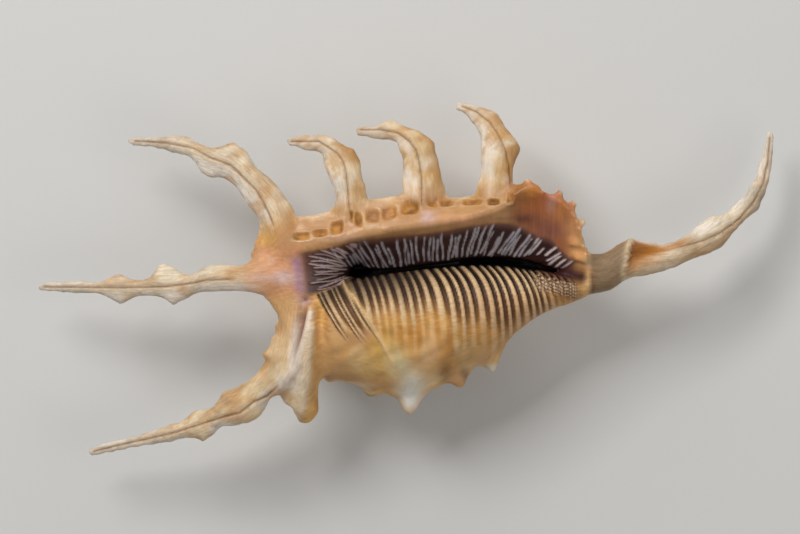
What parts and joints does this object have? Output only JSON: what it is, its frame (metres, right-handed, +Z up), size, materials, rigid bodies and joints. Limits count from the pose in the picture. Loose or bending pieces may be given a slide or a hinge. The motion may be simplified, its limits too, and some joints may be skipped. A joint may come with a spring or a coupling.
{
  "type": "spider conch shell",
  "caption": "Sea shell with a ribbed narrow opening, knobbed body whorl, long curved fingers along its lip and a slender upturned canal; a collector's or display piece.",
  "frame": {"origin": "centre of the overall box's footprint, on the plane that the knobs of the back rest on", "axes": "+X from the spire to the tip of the siphonal canal, +Y from the body whorl's plain side to the fingered lip, +Z up out of the opening, with the shell lying on its back"},
  "size_m": [0.16, 0.0762, 0.034],
  "materials": {
    "shell": "semi-gloss"
  },
  "bodies": {
    "root": {"shell": "shell"}
  },
  "joints": []
}
